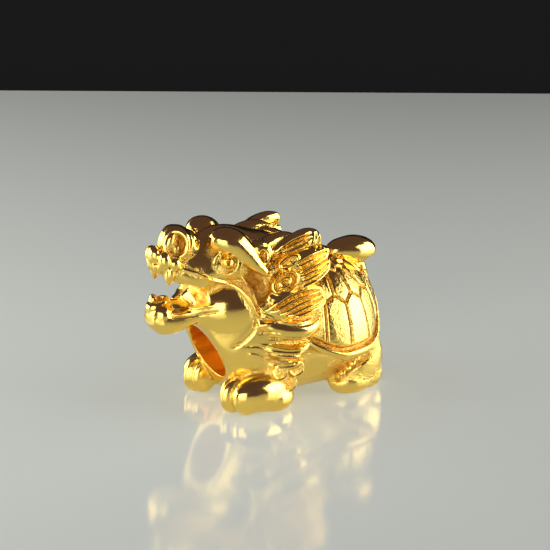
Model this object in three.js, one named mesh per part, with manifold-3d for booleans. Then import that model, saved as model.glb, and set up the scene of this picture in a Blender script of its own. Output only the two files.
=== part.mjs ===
// A small gold bead in the shape of a dragon turtle: a dragon's head with an open mouth on a turtle's body,
// on four paws, with a round hole from chest to rump for a cord. One casting, so one solid.
// Millimetres, +Z up, the head towards -Y, the figure's own left side towards +X. The origin is on the
// ground, under the middle of the figure.

import * as THREE from "three";
import { mergeVertices } from "three/addons/utils/BufferGeometryUtils.js";
import Module from "manifold-3d";

const wasm = await Module();
wasm.setup();

// Driving dimensions, in millimetres.
const LENGTH = 14; // the body, from the lower lip to the rump
const BORE_DIAMETER = 3; // the hole for the cord
const BORE_HEIGHT = 2.95; // the hole's axis above the ground
const BORE_RIM = 0.3; // the least metal round the hole
const BORE_SIDES = 20;

// The modelled form is free, so its proportions are kept in hundredths of the length.
const HUNDREDTH = LENGTH / 100;
const GROUND = 1.5; // the height at which the paws are cut flat, to stand on
const BORE_AXIS = BORE_HEIGHT + GROUND * HUNDREDTH;
const COLLAR = { front: -24.5, back: 47.5 }; // the ends of the metal round the hole
const CHEST = { y: -22.7, height: 22.6, slope: -0.465 }; // the chest leans, and its lower edge lies back
const RIB_DEPTH = 0.28; // the grooves between a lock's ribs, as a share of its thickness
const SHELL = { middle: 24, halfWidth: 25, halfLength: 25, top: 52 };
const SHELL_EDGE = { flank: 20, rump: 37.5, rumpPower: 7, front: 36, frontPower: 1.5 }; // its height round it
const SHELL_INSIDE = { share: 0.8, rise: 2 }; // its underside, drawn in and lifted to lie in the trunk
const SHELL_FULLNESS = 0.87; // under 1, the dome is fuller at the shoulder than an ellipsoid
const BAND = 1.8; // half the thickness of the band round the shell
const PLATES = 15; // plates round the shell, in each of its two rows
const CROWN_PLATES = 6; // plates round its middle one
const ROWS = [12, 28, 47, 54, 83]; // degrees down from the top, at which the rows of plates meet
const COVERED = -0.55; // the sine of the angle round the shell, past which the mane covers it
const PLATE_GAP = 0.55; // half the groove between two plates
const PLATE_HEIGHT = 1; // how far the plates stand out of the grooves

const GOLD = new THREE.MeshStandardMaterial({ color: 0xe8b23a, roughness: 0.2, metalness: 1 });

const { sin, cos, abs, sign, PI } = Math;
const { clamp, degToRad } = THREE.MathUtils;
const vector = (x, y, z) => new THREE.Vector3(x, y, z);
const turnOf = (i, count) => (2 * PI * i) / count;

// A geometry whose triangles face outwards, whichever way they were wound.
function outward(geometry) {
  const points = geometry.attributes.position;
  const index = geometry.index.array;
  const corner = (i) => vector().fromBufferAttribute(points, index[i]);
  let volume = 0;
  for (let i = 0; i < index.length; i += 3) {
    volume += corner(i).dot(corner(i + 1).cross(corner(i + 2)));
  }
  if (volume < 0) {
    index.reverse();
  }
  return geometry;
}

// A closed skin over rings of points, drawn to a point at either end.
function skin(rings, firstPole, lastPole) {
  const sides = rings[0].length;
  const points = [firstPole, ...rings.flat(), lastPole];
  const last = points.length - 1;
  const index = [];
  for (let j = 0; j < sides; j++) {
    const next = (j + 1) % sides;
    index.push(0, 1 + next, 1 + j);
    for (let here = 1; here < last - sides; here += sides) {
      const there = here + sides;
      index.push(here + j, here + next, there + j, here + next, there + next, there + j);
    }
    index.push(last, last - sides + j, last - sides + next);
  }
  const geometry = new THREE.BufferGeometry().setFromPoints(points);
  geometry.setIndex(index);
  return outward(geometry);
}

// The row at share t of a list of rows of numbers, on a smooth curve through them.
function between(rows, t) {
  const place = t * (rows.length - 1);
  const i = Math.min(Math.floor(place), rows.length - 2);
  const f = place - i;
  const [before, after] = [i - 1, i + 2].map((k) => rows[clamp(k, 0, rows.length - 1)]);
  return rows[i].map((start, k) => {
    const rise = rows[i + 1][k] - start;
    const leave = (rows[i + 1][k] - before[k]) / 2;
    const arrive = (after[k] - start) / 2;
    return start + f * (leave + f * (3 * rise - 2 * leave - arrive + f * (leave + arrive - 2 * rise)));
  });
}

// A form along Y through stations of [y, half width, lowest z, highest z]. A fullness of 2 gives oval
// sections, and more gives squarer ones.
function loft(stations, sides, count, fullness = 2.3) {
  const power = (value) => sign(value) * abs(value) ** (2 / fullness);
  const rings = Array.from({ length: count }, (_, i) => {
    const [y, half, low, high] = between(stations, (i + 0.4) / (count - 0.2));
    return Array.from({ length: sides }, (__, j) => {
      const angle = turnOf(j, sides);
      return vector(half * power(cos(angle)), y, (low + high) / 2 + ((high - low) / 2) * power(sin(angle)));
    });
  });
  const pole = ([y, , low, high]) => vector(0, y, (low + high) / 2);
  return skin(rings, pole(stations[0]), pole(stations.at(-1)));
}

// Points round a plain oval section, as shares of its half width and half thickness.
function oval(sides) {
  const turns = Array.from({ length: sides }, (_, j) => turnOf(j, sides));
  return turns.map((angle) => [cos(angle), sin(angle)]);
}

// Points round a section with raised ribs on its outer side.
function ribbed(ribs) {
  const points = Array.from({ length: ribs * 2 + 1 }, (_, i) => {
    const angle = (PI * i) / (ribs * 2);
    return [cos(angle), sin(angle) * (i % 2 ? 1 : 1 - RIB_DEPTH) - (i % 2 ? 0 : 0.12)];
  });
  return [...points, [0, -0.9]];
}

// A section swept along a curve through the points of path. girth lists [half width, half thickness] at
// even steps along it, and out is the way that its thickness points.
function sweep(path, girth, out, section = oval(8), count = 7) {
  const curve = new THREE.CatmullRomCurve3(path.map((p) => vector(...p)));
  const rings = Array.from({ length: count }, (_, i) => {
    const t = (i + 0.35) / (count - 0.3);
    const [wide, thick] = between(girth, t);
    const centre = curve.getPoint(t);
    const along = curve.getTangent(t);
    const side = along.clone().cross(vector(...out)).normalize();
    const up = side.clone().cross(along);
    return section.map(([a, b]) => {
      const across = centre.clone().addScaledVector(side, a * wide);
      return across.addScaledVector(up, b * thick);
    });
  });
  return skin(rings, curve.getPoint(0), curve.getPoint(1));
}

// An ellipsoid: its centre, its radii, and its turn about X, Y and Z in degrees.
function ball(centre, radii, turn = [0, 0, 0], sides = [12, 8]) {
  const spin = new THREE.Euler(...turn.map(degToRad));
  return new THREE.SphereGeometry(1, ...sides)
    .rotateX(PI / 2)
    .scale(...radii)
    .applyMatrix4(new THREE.Matrix4().makeRotationFromEuler(spin))
    .translate(...centre);
}

// A raised round or oval boss that faces along normal, with a carved face. profile lists [share of the
// radii, height], from the middle of the face outwards and down its side.
function boss(centre, normal, radii, profile, { roll = 0, sides = 9 } = {}) {
  const facing = new THREE.Quaternion().setFromUnitVectors(vector(0, 0, 1), vector(...normal).normalize());
  const turned = facing.multiply(new THREE.Quaternion().setFromAxisAngle(vector(0, 0, 1), degToRad(roll)));
  const place = (x, y, z) => vector(x, y, z).applyQuaternion(turned).add(vector(...centre));
  const rings = profile.map(([share, height]) =>
    Array.from({ length: sides }, (_, j) => {
      const angle = turnOf(j, sides);
      return place(radii[0] * share * cos(angle), radii[1] * share * sin(angle), height);
    }),
  );
  return skin(rings, place(0, 0, profile[0][1]), place(0, 0, profile.at(-1)[1]));
}

// A geometry in hundredths of the length, as a solid in millimetres.
function solid(geometry, scale = HUNDREDTH) {
  const bare = geometry.clone().scale(scale, scale, scale);
  bare.deleteAttribute("normal");
  bare.deleteAttribute("uv");
  const merged = mergeVertices(bare, 1e-4);
  return new wasm.Manifold(
    new wasm.Mesh({
      numProp: 3,
      vertProperties: merged.attributes.position.array,
      triVerts: new Uint32Array(merged.index.array),
    }),
  );
}

function mirrored(geometry) {
  return outward(mergeVertices(geometry.clone().scale(-1, 1, 1)));
}

const join = (geometries) => geometries.map((g) => solid(g)).reduce((all, one) => all.add(one));
const bothSides = (geometries) => geometries.flatMap((g) => [g, mirrored(g)]);

// Barrel trunk, cut off by the leaning plane of the chest.
function trunk() {
  const body = loft(
    [
      [-31, 9, 16, 46],
      [-24, 13.2, 12, 52],
      [-17, 16.8, 6, 55],
      [-8, 20, 3.4, 56],
      [4, 21.6, 2.8, 54],
      [16, 22.2, 3, 50],
      [28, 21.6, 3.4, 47],
      [37, 19.4, 5.4, 44],
      [44, 15.5, 9, 41],
      [48, 12, 11, 38],
    ],
    16,
    8,
    2.4,
  );
  const reach = 60;
  const front = new THREE.BoxGeometry(reach, reach, reach)
    .translate(0, -reach / 2, 0)
    .rotateX(-Math.atan(CHEST.slope))
    .translate(0, CHEST.y, CHEST.height);
  const collarRadius = BORE_DIAMETER / 2 + BORE_RIM;
  const collarLength = (COLLAR.back - COLLAR.front) * HUNDREDTH;
  const collarMiddle = ((COLLAR.back + COLLAR.front) / 2) * HUNDREDTH;
  const collar = new THREE.CylinderGeometry(collarRadius, collarRadius, collarLength, BORE_SIDES)
    .translate(0, collarMiddle, BORE_AXIS);
  return solid(body).add(solid(collar, 1)).subtract(solid(front));
}

function bore() {
  const radius = BORE_DIAMETER / 2;
  const drill = new THREE.CylinderGeometry(radius, radius, LENGTH * 2, BORE_SIDES);
  return solid(drill.translate(0, 0, BORE_AXIS), 1);
}

// Upper jaw and skull in one, from the lip back into the mane.
function skull() {
  return loft(
    [
      [-45.4, 3.4, 58, 64],
      [-42.6, 5.4, 55, 65.5],
      [-38, 7.2, 52, 66.5],
      [-33, 9, 50, 66.5],
      [-27, 11.2, 47, 68],
      [-20, 12.6, 42, 70.5],
      [-12, 14.6, 38, 70.5],
      [-3, 16, 36, 68],
      [7, 16, 38, 65],
      [16, 11, 43, 59],
    ],
    12,
    8,
    2.4,
  );
}

// Lower jaw, from the lip back into the throat.
function lowerJaw() {
  return loft(
    [
      [-47.6, 4, 37.5, 42],
      [-44, 6.6, 33.4, 44],
      [-40, 7.2, 33, 43.2],
      [-36, 8, 34, 43],
      [-31, 10, 36, 46],
      [-24, 13, 36, 50],
      [-16, 15.6, 36, 52],
      [-6, 17, 36, 50],
    ],
    12,
    7,
    2.4,
  );
}

const cheek = () => ball([4.6, -11.5, 42.4], [12.8, 19, 15], [-10, 0, 5], [12, 8]);

// The round tip of the lower jaw, which stands up before the tongue.
const chin = () => ball([0, -43.2, 41.4], [6.5, 4.8, 6.2], [0, 0, 0], [10, 7]);

// The open mouth, cut in between the jaws, and the tongue in it.
function mouth() {
  return loft(
    [
      [-56, 5, 45.5, 55.5],
      [-48.6, 5, 46, 57],
      [-44.6, 5.2, 41, 57.5],
      [-38, 5.8, 39.5, 55.5],
      [-31, 6.6, 41, 51],
    ],
    10,
    6,
    3,
  );
}

function mouthCorners() {
  return loft(
    [
      [-56, 12, 45, 54.5],
      [-44, 12, 44, 54.5],
      [-37, 13, 43.2, 53.6],
      [-32.4, 13.6, 43.8, 52.6],
      [-27.6, 14.4, 45.2, 49],
    ],
    8,
    6,
    3,
  );
}

function tongue() {
  const path = [[0, -41.6, 42], [0, -37, 43.6], [0, -27, 40]];
  return sweep(path, [[1.6, 1], [3.6, 1.9], [4, 2]], [0, 0, 1], oval(8), 4);
}

// The upper lip: a raised edge that runs from beside the nose to the back of the cheek, the folds round
// the front of the snout, and a fang.
function lip() {
  const edge = [
    [7, -38, 59.4],
    [9.2, -31.3, 57.1],
    [11, -27.4, 54.9],
    [13.4, -22.4, 53.2],
    [15.6, -17.4, 50.4],
    [17, -13.6, 45.5],
    [17.8, -11.4, 40],
  ];
  return [
    sweep(edge, [[0.5, 0.5], [0.9, 0.8], [0.9, 0.8], [0.5, 0.5]], [1, -0.3, 0.2], oval(4), 6),
    ball([0, -45, 63.4], [3.2, 2.4, 4.2], [0, 0, 0], [6, 4]),
    ball([4.9, -43, 62.2], [2.5, 2.6, 4], [0, 0, 20], [6, 4]),
    ball([6.8, -39.4, 61.2], [1.7, 2.4, 2.6], [0, 0, 0], [5, 4]),
    ball([5.1, -42.4, 56.6], [1.7, 1.8, 3.2], [0, 0, 0], [5, 4]),
  ];
}

// The bridge of the nose, between the nostrils and behind them.
const bridge = () => ball([0, -31.4, 65.6], [6.4, 5, 6.8], [0, 0, 0], [9, 6]);

// Nose: two round nostrils like snail shells.
function nostril() {
  const face = [[0.3, 1.4], [0.5, 1.9], [0.72, 4.1], [0.94, 2.3], [1.02, -0.8], [0.6, -2.6]];
  return boss([0.8, -35.8, 67.3], [0.84, -0.5, 0.2], [6.4, 7], face, { sides: 10 });
}

// Eye: a ball in a raised ring.
function eye() {
  const face = [[0.2, 1.8], [0.45, 0.6], [0.6, 0.5], [0.8, 1.6], [1, 0.2], [1, -3]];
  return boss([12, -20.8, 60.6], [0.9, -0.4, 0.15], [4.9, 4.9], face);
}

// Brow: a heavy smooth fold over the eye, that ends behind it in a curl.
function brow() {
  const path = [[7.2, -25.4, 66.4], [8.6, -21.2, 68], [10, -17, 67], [12.4, -12.8, 62.4], [15, -10, 56.8]];
  const girth = [[2.4, 2.6], [5, 4.9], [5.2, 4.8], [3.9, 3.4], [1.2, 1.2]];
  const face = [[0.2, 1.2], [0.5, 0], [0.75, 1.4], [1, 0.2], [1, -3]];
  return [
    sweep(path, girth, [0.45, -0.1, 0.9], oval(8), 6),
    boss([13.7, -6.6, 61.2], [0.94, -0.3, 0.2], [4.9, 5.8], face, { sides: 8 }),
  ];
}

const ear = () =>
  sweep(
    [[12.4, -2.8, 60.4], [14, 4.2, 63.4], [14.6, 11, 65], [14.2, 19, 65]],
    [[1.4, 1.4], [2.9, 2.4], [4, 2.9], [3.4, 2.2]],
    [0.9, -0.35, 0.4],
    ribbed(3),
    6,
  );

const horn = () =>
  sweep(
    [[11.6, -7.6, 62.4], [10.4, -1, 64.6], [9.6, 6, 65], [8.6, 12.6, 63.4]],
    [[2.2, 2.2], [2.9, 2.9], [2.7, 2.7], [1.5, 1.5]],
    [0, 0, 1],
    oval(6),
    5,
  );

// One tapering lock of hair, half as wide and half as thick as given, along a path.
function lock(path, wide, thick, section, out = [1, -0.1, 0.25], count = 4) {
  const taper = [[0.4, 0.6], [0.9, 1], [1, 1], [0.8, 0.9], [0.3, 0.5]];
  const girth = taper.map(([a, b]) => [a * wide, b * thick]);
  return sweep(path, girth, out, section, count);
}

// The mane: the locks at the side of the neck, from the cheek back on to the shell, those of the beard
// below them, and those of the nape.
function mane() {
  const broad = [[16, -10.5, 40.8], [19.4, -4, 42.8], [21, 4, 43.4], [21.2, 11, 44], [19.8, 17.8, 43.2]];
  const upper = [[16, 1, 55.4], [18, 7, 57.6], [18.4, 13, 59], [16.6, 21.4, 60]];
  const middle = [[18.3, 3, 50], [19.6, 8.6, 52.4], [19.6, 14, 54.4], [17.6, 21, 56]];
  const beard = [[14.6, -13, 37.8], [18.4, -6, 34.8], [21.2, 1, 32.8], [22, 8, 32.2], [21, 14.4, 34]];
  const wave = [[15, -12, 28], [19, -4.5, 25.8], [21.4, 3, 24], [21.6, 9.6, 26]];
  const innerNape = [[4, 2, 63], [4.6, 9, 62.4], [4.4, 16, 58], [4, 22, 53.6]];
  const outerNape = [[11, 6, 61], [12, 12, 60], [11.6, 18, 56.5], [10.6, 23, 52.6]];
  return [
    lock(broad, 6.6, 3.2, ribbed(4), [1, -0.1, 0.25], 5),
    lock(upper, 4.2, 3, ribbed(3)),
    lock(middle, 4.6, 3, ribbed(2)),
    lock(beard, 3.9, 3.7, oval(6)),
    lock(wave, 2.9, 2.8, oval(5)),
    lock(innerNape, 4.4, 3, ribbed(2), [0, 0.3, 1]),
    lock(outerNape, 4.4, 3, ribbed(2), [0.5, 0.3, 0.8]),
    ball([11.6, 4, 48], [8.6, 12.6, 13], [0, 0, 0], [7, 5]),
  ];
}

// The two curls that lie on the mane.
function curls() {
  const normal = [0.96, -0.25, 0.18];
  const face = [[0.3, 1.8], [0.52, 0.2], [0.74, 1.6], [0.95, 0.6], [1, -3]];
  return [
    boss([20.2, -0.4, 51.4], normal, [6.3, 4.4], face, { roll: 100 }),
    boss([18.9, 2.2, 58.6], normal, [5.2, 2.5], face, { roll: 115, sides: 8 }),
  ];
}

// Front leg: a broad paw with two narrow toes beside its outer one, a heel, and a shoulder with scales.
function frontLeg() {
  const toes = [[10.6, -17.4, 8.2], [13.9, -19, 8]];
  const scales = [[20.6, -3.4, 17], [20.9, 3.6, 17.4], [20.3, 0.8, 11.6]];
  return [
    ...toes.map((c) => ball(c, [2.4, 5.8, 6.6], [-10, 0, 0], [5, 5])),
    ball([18.2, -15.6, 7.8], [4.6, 6.6, 6.8], [-10, 0, 0], [7, 5]),
    ball([17.6, -9.4, 8.6], [6.5, 12.8, 7.6], [-2, 0, 4], [8, 6]),
    ball([17.4, -3.4, 5.6], [6.4, 8.2, 6], [0, 0, 0], [7, 4]),
    ball([17, -1.6, 14], [4.6, 8, 9], [0, 0, 0], [6, 5]),
    ...scales.map((c) => ball(c, [1.6, 3.3, 3.3], [0, -12, 0], [6, 3])),
  ];
}

// Hind leg: a smooth paw and heel, and a haunch with a row of small curls down its edge.
function hindLeg() {
  const curlPath = [[20.2, 24.4, 9.4], [21.8, 28, 13.2], [22, 32.6, 16.8], [20.6, 37, 18.6]];
  const bead = (i) => {
    const [x, y, z] = between(curlPath, i / 3);
    return ball([x - 0.8, y, z], [1.8, 2.2, 1.9], [0, 0, 0], [4, 3]);
  };
  return [
    ball([16, 32.4, 5.8], [6.8, 9.6, 6.2], [0, 0, 0], [8, 5]),
    ball([14.6, 40.4, 7], [6.8, 6.6, 7], [0, 0, 0], [7, 4]),
    ball([15.8, 35.4, 14.4], [7.6, 11, 13.6], [0, 0, 0], [8, 6]),
    ...Array.from({ length: 4 }, (_, i) => bead(i)),
  ];
}

// The height of the shell's rim at an angle round it: lowest along the flanks, and arched over the rump
// and, under the mane, over the neck.
function rimHeight(angle) {
  const { flank, rump, rumpPower, front, frontPower } = SHELL_EDGE;
  const back = sin(angle);
  return back > 0 ? flank + (rump - flank) * back ** rumpPower : flank + (front - flank) * (-back) ** frontPower;
}

// A point of the shell, at an angle down from its top and an angle round it.
function onShell(down, round, lift = 0) {
  const base = rimHeight(round);
  const share = sin(down) ** SHELL_FULLNESS;
  return vector(
    (SHELL.halfWidth + lift) * share * cos(round),
    SHELL.middle + (SHELL.halfLength + lift) * share * sin(round),
    base + (SHELL.top + lift - base) * cos(down),
  );
}

// One raised plate, through corners given as [angle down, angle round].
function plate(corners) {
  const centre = [0, 1].map((k) => corners.reduce((sum, corner) => sum + corner[k], 0) / corners.length);
  const middle = onShell(...centre, PLATE_HEIGHT);
  const lifted = corners.map((corner) => {
    const point = onShell(...corner, PLATE_HEIGHT);
    return point.addScaledVector(middle.clone().sub(point).normalize(), PLATE_GAP);
  });
  const sunk = corners.map((corner) => onShell(...corner, -2));
  return skin([lifted, sunk], middle, onShell(...centre, -3));
}

// The shell: a dome with a honeycomb of plates and a rounded band round its edge.
function shell() {
  const columns = 16;
  const at = (down) => Array.from({ length: columns }, (_, j) => onShell(down, turnOf(j, columns)));
  const { share: drawn, rise } = SHELL_INSIDE;
  const inside = at(PI / 2).map((p) => {
    return vector(p.x * drawn, SHELL.middle + (p.y - SHELL.middle) * drawn, p.z + rise);
  });
  const rings = [0.33, 0.66, 1].map((share) => at((share * PI) / 2));
  const dome = skin([...rings, inside], onShell(0, 0), vector(0, SHELL.middle, 30));
  const [crown, upper, dip, peak, lower] = ROWS.map(degToRad);
  const plates = [];
  const half = PI / PLATES;
  for (let k = 0; k < PLATES; k++) {
    const a = PI / 2 + 2 * k * half;
    const b = a + half;
    if (sin(a) > COVERED) {
      const foot = [[lower, a - half], [lower, a + half]];
      plates.push(plate([...foot, [peak, a + half], [dip, a], [peak, a - half]]));
    }
    if (sin(b) > COVERED) {
      const foot = [[dip, b - half], [peak, b], [dip, b + half]];
      plates.push(plate([...foot, [upper, b + half], [upper, b - half]]));
    }
  }
  const wide = PI / CROWN_PLATES;
  for (let k = 0; k < CROWN_PLATES; k++) {
    const a = PI / 2 + 2 * k * wide;
    const foot = [[upper, a - wide], [upper, a], [upper, a + wide]];
    plates.push(plate([...foot, [crown, a + wide], [crown, a - wide]]));
  }
  return [dome, ...plates, rim()];
}

// The rounded band round the shell's edge.
function rim() {
  const stops = Array.from({ length: 24 }, (_, j) => onShell(PI / 2, turnOf(j, 24)));
  const curve = new THREE.CatmullRomCurve3(stops, true);
  const circle = new THREE.Shape();
  circle.absarc(0, 0, BAND, 0, 2 * PI);
  const geometry = new THREE.ExtrudeGeometry(circle, { steps: 22, curveSegments: 2, extrudePath: curve });
  geometry.deleteAttribute("normal");
  geometry.deleteAttribute("uv");
  return outward(mergeVertices(geometry, 1e-4));
}

// Tail: a smooth drop that lies forward over the shell, with small curls where it leaves the rump.
function tail() {
  return [
    ball([0, 45.4, 44], [4.4, 4.2, 7], [20, 0, 0], [8, 6]),
    sweep(
      [[0, 50.6, 48.6], [0, 49, 51], [0, 43.6, 52.4], [0, 37, 53.2], [0, 31, 53.2]],
      [[2.6, 2.6], [5.2, 5], [6, 5.6], [4.8, 4.4], [1.8, 1.7]],
      [0, 0, 1],
      oval(9),
      6,
    ),
    ...bothSides([ball([4, 44.6, 43.4], [2.4, 2.6, 2.4], [0, 0, 0], [6, 5])]),
  ];
}

// What lies on the left side of the head and body, and again on the right.
function sideParts() {
  return [
    ...lip(),
    nostril(),
    eye(),
    ...brow(),
    ear(),
    horn(),
    ...mane(),
    ...curls(),
    ...frontLeg(),
    ...hindLeg(),
  ];
}

// All that lies under the plane the figure stands on.
function ground() {
  const block = new THREE.BoxGeometry(2 * LENGTH, 2 * LENGTH, LENGTH);
  return solid(block.translate(0, 0, GROUND * HUNDREDTH - LENGTH / 2), 1);
}

const figure = join([skull(), bridge(), lowerJaw(), ...bothSides([cheek()])])
  .subtract(solid(mouthCorners()))
  .subtract(solid(mouth()))
  .add(trunk())
  .add(join([...shell(), ...tail(), tongue(), chin(), ...bothSides(sideParts())]))
  .subtract(bore())
  .subtract(ground());

function meshOf(made) {
  const { vertProperties, triVerts, numProp } = made.getMesh();
  const geometry = new THREE.BufferGeometry();
  geometry.setAttribute("position", new THREE.BufferAttribute(Float32Array.from(vertProperties), numProp));
  geometry.setIndex(new THREE.BufferAttribute(Uint32Array.from(triVerts), 1));
  geometry.computeBoundingBox();
  const { min, max } = geometry.boundingBox;
  return geometry.translate(0, -(min.y + max.y) / 2, -min.z);
}

const group = new THREE.Group();
const mesh = new THREE.Mesh(meshOf(figure), GOLD);
mesh.name = "dragon_turtle";
group.add(mesh);

export default group;
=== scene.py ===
"""A small cast gold bead in the shape of a dragon turtle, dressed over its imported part.

The figure is modelled in hundredths of its body's length, with its left side towards +X, its head towards
-Y and +Z up. It is brought to metres, in the part's own frame, once it is whole.
"""

from __future__ import annotations

import logging
import math
from dataclasses import dataclass, field
from enum import Enum
from typing import Callable, Sequence

import bpy
import numpy as np
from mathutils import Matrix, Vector
from mathutils.bvhtree import BVHTree

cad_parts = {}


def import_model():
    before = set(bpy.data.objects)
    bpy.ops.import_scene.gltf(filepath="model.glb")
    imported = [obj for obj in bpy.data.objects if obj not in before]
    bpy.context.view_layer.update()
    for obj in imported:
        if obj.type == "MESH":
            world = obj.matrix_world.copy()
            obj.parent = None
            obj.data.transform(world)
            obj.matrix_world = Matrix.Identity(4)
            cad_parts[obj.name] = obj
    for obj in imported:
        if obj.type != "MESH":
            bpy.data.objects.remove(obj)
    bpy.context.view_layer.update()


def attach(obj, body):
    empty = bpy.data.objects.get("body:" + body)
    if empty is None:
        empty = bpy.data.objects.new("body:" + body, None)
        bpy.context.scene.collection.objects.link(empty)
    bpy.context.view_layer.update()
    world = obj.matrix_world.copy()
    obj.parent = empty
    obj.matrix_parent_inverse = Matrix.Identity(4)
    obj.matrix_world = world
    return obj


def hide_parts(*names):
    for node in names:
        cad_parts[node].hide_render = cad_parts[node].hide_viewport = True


LOG = logging.getLogger("dragon_turtle")

NODE = "dragon_turtle"

HUNDREDTH = 0.014 / 100  # metres in a hundredth of the body's length
MIDDLE = 2.646  # the middle of the figure's length, from its own origin
GROUND = 1.5  # the height the paws are cut flat at
TRIANGLES = 190_000  # the most that the finished figure keeps

TRUNK_VOXEL = 0.6  # the voxels that the trunk is melted with
CORE_VOXEL = 0.55  # those of the skull and of the core
GAPE_VOXEL = 0.8  # those of the tool that cuts the mouth

CUT_REACH = 2.6  # widths from a carved line to where its carving ends
END_SHARE = 0.25  # the share of its depth that a fading line has at its ends
END_RISE = 6  # how fast it deepens from there, over the share of its length
SIDE_START = 60  # the place on X from which lines are cast on the left side

Triple = tuple[float, float, float]
Pair = tuple[float, float]
Color = tuple[float, float, float, float]
Mesh = bpy.types.Object


class Fineness(Enum):
    """How finely the casting is meshed, by the size of its voxels."""

    TRIAL = 0.46
    FINAL = 0.27


# The bench: small tools that every sub-assembly uses


def alone(piece: Mesh) -> Mesh:
    """Selects one piece, and nothing else.

    Args:
        piece: The object to select and make active.

    Returns:
        The same object.
    """
    bpy.ops.object.select_all(action="DESELECT")
    piece.select_set(True)
    bpy.context.view_layer.objects.active = piece
    return piece


def points(piece: Mesh) -> np.ndarray:
    """The coordinates of a piece's vertices.

    Args:
        piece: The object to read.

    Returns:
        One row for each vertex.
    """
    out = np.empty(len(piece.data.vertices) * 3, dtype=np.float32)
    piece.data.vertices.foreach_get("co", out)
    return out.reshape(-1, 3).astype(float)


def directions(piece: Mesh) -> np.ndarray:
    """The ways that a piece's vertices face.

    Args:
        piece: The object to read.

    Returns:
        One row for each vertex.
    """
    out = np.empty(len(piece.data.vertices) * 3, dtype=np.float32)
    piece.data.vertex_normals.foreach_get("vector", out)
    return out.reshape(-1, 3).astype(float)


def move_points(piece: Mesh, places: np.ndarray) -> Mesh:
    """Moves a piece's vertices.

    Args:
        piece: The object to change.
        places: The new coordinates, one row for each vertex.

    Returns:
        The same object.
    """
    piece.data.vertices.foreach_set("co", np.ascontiguousarray(places, dtype=np.float32).ravel())
    piece.data.update()
    return piece


def primitive(add: Callable[..., object], **settings: object) -> Mesh:
    """Adds one of the program's simple meshes.

    Args:
        add: The operator that adds it.
        settings: The operator's settings.

    Returns:
        The new piece, selected alone.
    """
    bpy.ops.object.select_all(action="DESELECT")
    add(**settings)
    return bpy.context.object


def face_outwards(piece: Mesh) -> Mesh:
    """Turns all of a closed piece's faces outwards.

    Args:
        piece: The object to change.

    Returns:
        The same object.
    """
    alone(piece)
    bpy.ops.object.mode_set(mode="EDIT")
    bpy.ops.mesh.select_all(action="SELECT")
    bpy.ops.mesh.normals_make_consistent(inside=False)
    bpy.ops.object.mode_set(mode="OBJECT")
    return piece


def ball(
    centre: Triple,
    radii: Triple,
    turn: Triple = (0, 0, 0),
    segments: int = 40,
    rings: int = 24,
) -> Mesh:
    """An ellipsoid.

    Args:
        centre: Its middle.
        radii: Its half sizes, before it is turned.
        turn: Its turns about X, Y and Z, in degrees.
        segments: How many faces go round it.
        rings: How many rows of them there are.

    Returns:
        The new piece.
    """
    add = bpy.ops.mesh.primitive_uv_sphere_add
    piece = primitive(add, segments=segments, ring_count=rings, radius=1, location=centre)
    piece.rotation_euler = [math.radians(angle) for angle in turn]
    piece.scale = radii
    bpy.ops.object.transform_apply(location=True, rotation=True, scale=True)
    return piece


def moulded(rings: np.ndarray, first: Sequence[float], last: Sequence[float]) -> Mesh:
    """A closed skin over rings of points: a sphere with its rows of vertices pulled on to them.

    Args:
        rings: The points, as [ring, point, coordinate]. Each ring has a multiple of four points.
        first: The pole before the first ring.
        last: The pole after the last ring.

    Returns:
        The new piece.
    """
    count, sides = rings.shape[:2]
    piece = primitive(bpy.ops.mesh.primitive_uv_sphere_add, segments=sides, ring_count=count + 1, radius=1)
    old = points(piece)
    row = np.rint(np.arccos(np.clip(old[:, 2], -1, 1)) / math.pi * (count + 1)).astype(int)
    column = np.rint(np.arctan2(old[:, 1], old[:, 0]) / math.tau * sides).astype(int) % sides
    new = rings[np.clip(row - 1, 0, count - 1), column]
    new[row == 0] = first
    new[row == count + 1] = last
    return face_outwards(move_points(piece, new))


def between(rows: np.ndarray, share: np.ndarray) -> np.ndarray:
    """Values on a smooth curve through evenly spaced rows.

    Args:
        rows: The rows the curve goes through.
        share: How far along it each wanted value is, from 0 to 1.

    Returns:
        A row of values for each share.
    """
    rows = np.asarray(rows, dtype=float)
    place = np.clip(share, 0, 1) * (len(rows) - 1)
    start = np.minimum(place.astype(int), len(rows) - 2)
    f = (place - start)[:, None]
    here, there = rows[start], rows[start + 1]
    before, after = rows[np.maximum(start - 1, 0)], rows[np.minimum(start + 2, len(rows) - 1)]
    rise, leave, arrive = there - here, (there - before) / 2, (after - here) / 2
    return here + f * (leave + f * (3 * rise - 2 * leave - arrive + f * (leave + arrive - 2 * rise)))


def closing(count: int) -> np.ndarray:
    """Steps along a form that get closer towards both of its ends.

    Args:
        count: How many are wanted.

    Returns:
        How far along the form each is, from 0 to 1, without the two ends.
    """
    return (1 - np.cos(np.linspace(0, math.pi, count + 2)[1:-1])) / 2


def oval(sides: int = 24) -> np.ndarray:
    """A plain oval section.

    Args:
        sides: How many points it has.

    Returns:
        The points round it, as shares of its half width and half thickness.
    """
    turn = np.arange(sides) / sides * math.tau
    return np.stack([np.cos(turn), np.sin(turn)], axis=1)


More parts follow.
